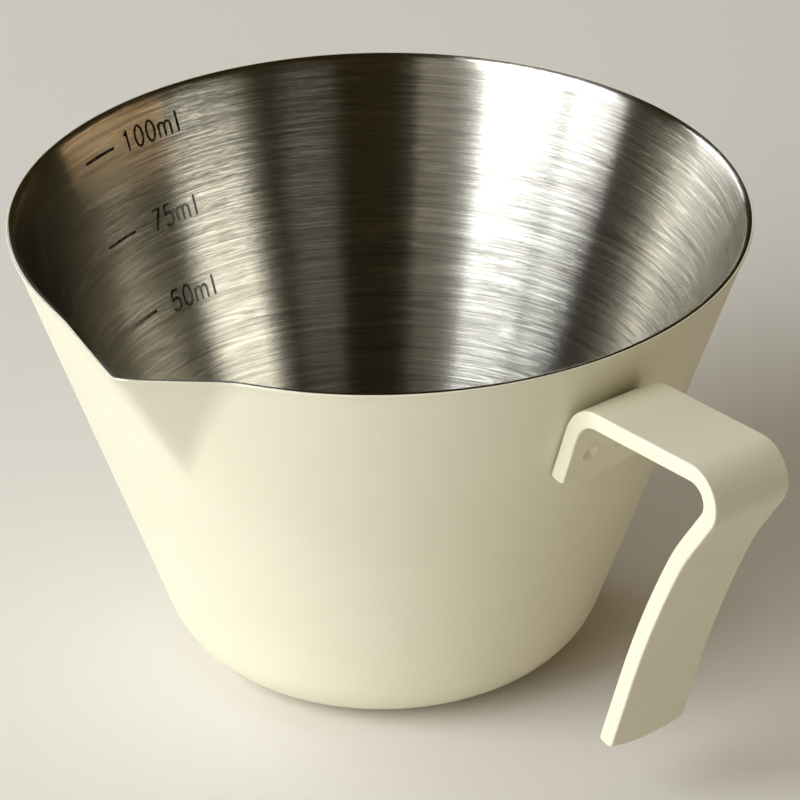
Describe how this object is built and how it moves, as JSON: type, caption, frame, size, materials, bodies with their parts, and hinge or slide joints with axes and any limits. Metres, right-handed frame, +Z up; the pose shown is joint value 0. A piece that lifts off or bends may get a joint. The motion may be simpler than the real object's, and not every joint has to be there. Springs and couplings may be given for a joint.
{
  "type": "pouring pot",
  "caption": "Small single-wall steel pouring pot with a conical drawn cup, a pressed V spout, inner volume marks and a bent strap handle spot-welded to its wall.",
  "frame": {"origin": "centre of the flat underside, on the cup's axis", "axes": "+Z up along the cup's axis, +X along the handle away from the cup; the spout points about 75 degrees clockwise of +X seen from above"},
  "size_m": [0.0918, 0.0765, 0.0472],
  "materials": {
    "brushed_steel": "fine brushing round the cup's axis, satin",
    "cream_coat": "cream powder coat, eggshell sheen with a faint orange peel",
    "weld_steel": "raw weld metal, dull",
    "engraving": "dark brown laser engraving, matte"
  },
  "bodies": {
    "root": {"cup_shell": "brushed_steel", "cup_coating": "cream_coat", "handle_strap": "brushed_steel", "handle_coating": "cream_coat", "spot_welds": "weld_steel", "graduation_marks": "engraving"}
  },
  "joints": []
}
